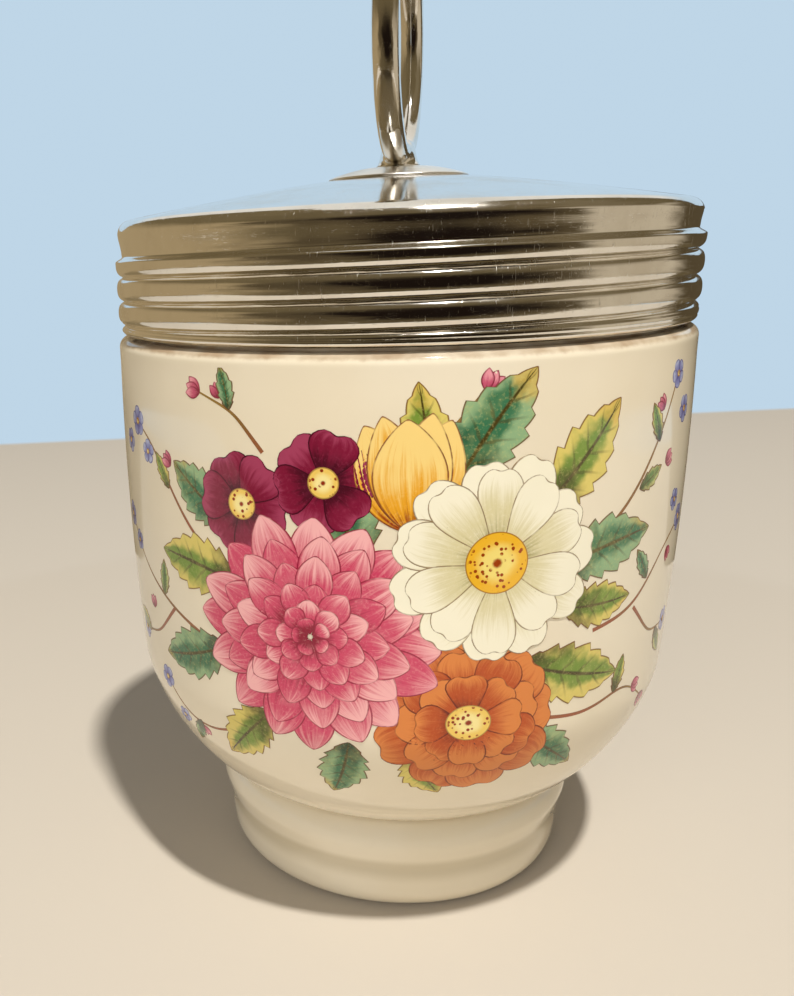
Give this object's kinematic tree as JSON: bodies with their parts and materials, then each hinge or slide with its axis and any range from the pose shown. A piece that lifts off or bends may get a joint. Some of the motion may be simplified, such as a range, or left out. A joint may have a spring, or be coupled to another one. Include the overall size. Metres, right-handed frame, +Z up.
{
  "type": "egg coddler",
  "caption": "Footed porcelain cup with a printed flower spray, closed by a domed metal screw lid with a rolled thread and an upright lifting ring on a small round plate.",
  "frame": {"origin": "centre of the foot's resting plane, on the cup's axis", "axes": "+Z up along the cup's axis, -Y towards the printed front that the picture looks at, +X to the right of that view"},
  "size_m": [0.0626, 0.0626, 0.1043],
  "materials": {
    "porcelain": "cream-white porcelain under a clear glossy glaze",
    "lid_metal": "bright plated sheet, finely scratched by use",
    "plate_metal": "bright plating",
    "ring_metal": "bright plated wire, slightly worn",
    "washer_metal": "plain stamped steel",
    "nut_metal": "plain turned steel"
  },
  "bodies": {
    "cup": {"cup": "porcelain"},
    "washer": {"inner_washer": "washer_metal"},
    "lid": {"lid_cap": "lid_metal", "rose_plate": "plate_metal", "lifting_ring": "ring_metal", "stud_nut": "nut_metal"}
  },
  "joints": [
    {"name": "lid_rise", "type": "slide", "parent": "cup", "child": "washer", "axis": [0, 0, 1], "range_m": [0, 0.01251]},
    {"name": "lid_turn", "type": "hinge", "parent": "washer", "child": "lid", "pos_m": [0, 0, 0.072], "axis": [0, 0, 1], "range_deg": [0, 1800]}
  ],
  "couplings": [
    {"joint": "lid_rise", "follows": "lid_turn", "m_per_rad": 0.00039789}
  ]
}
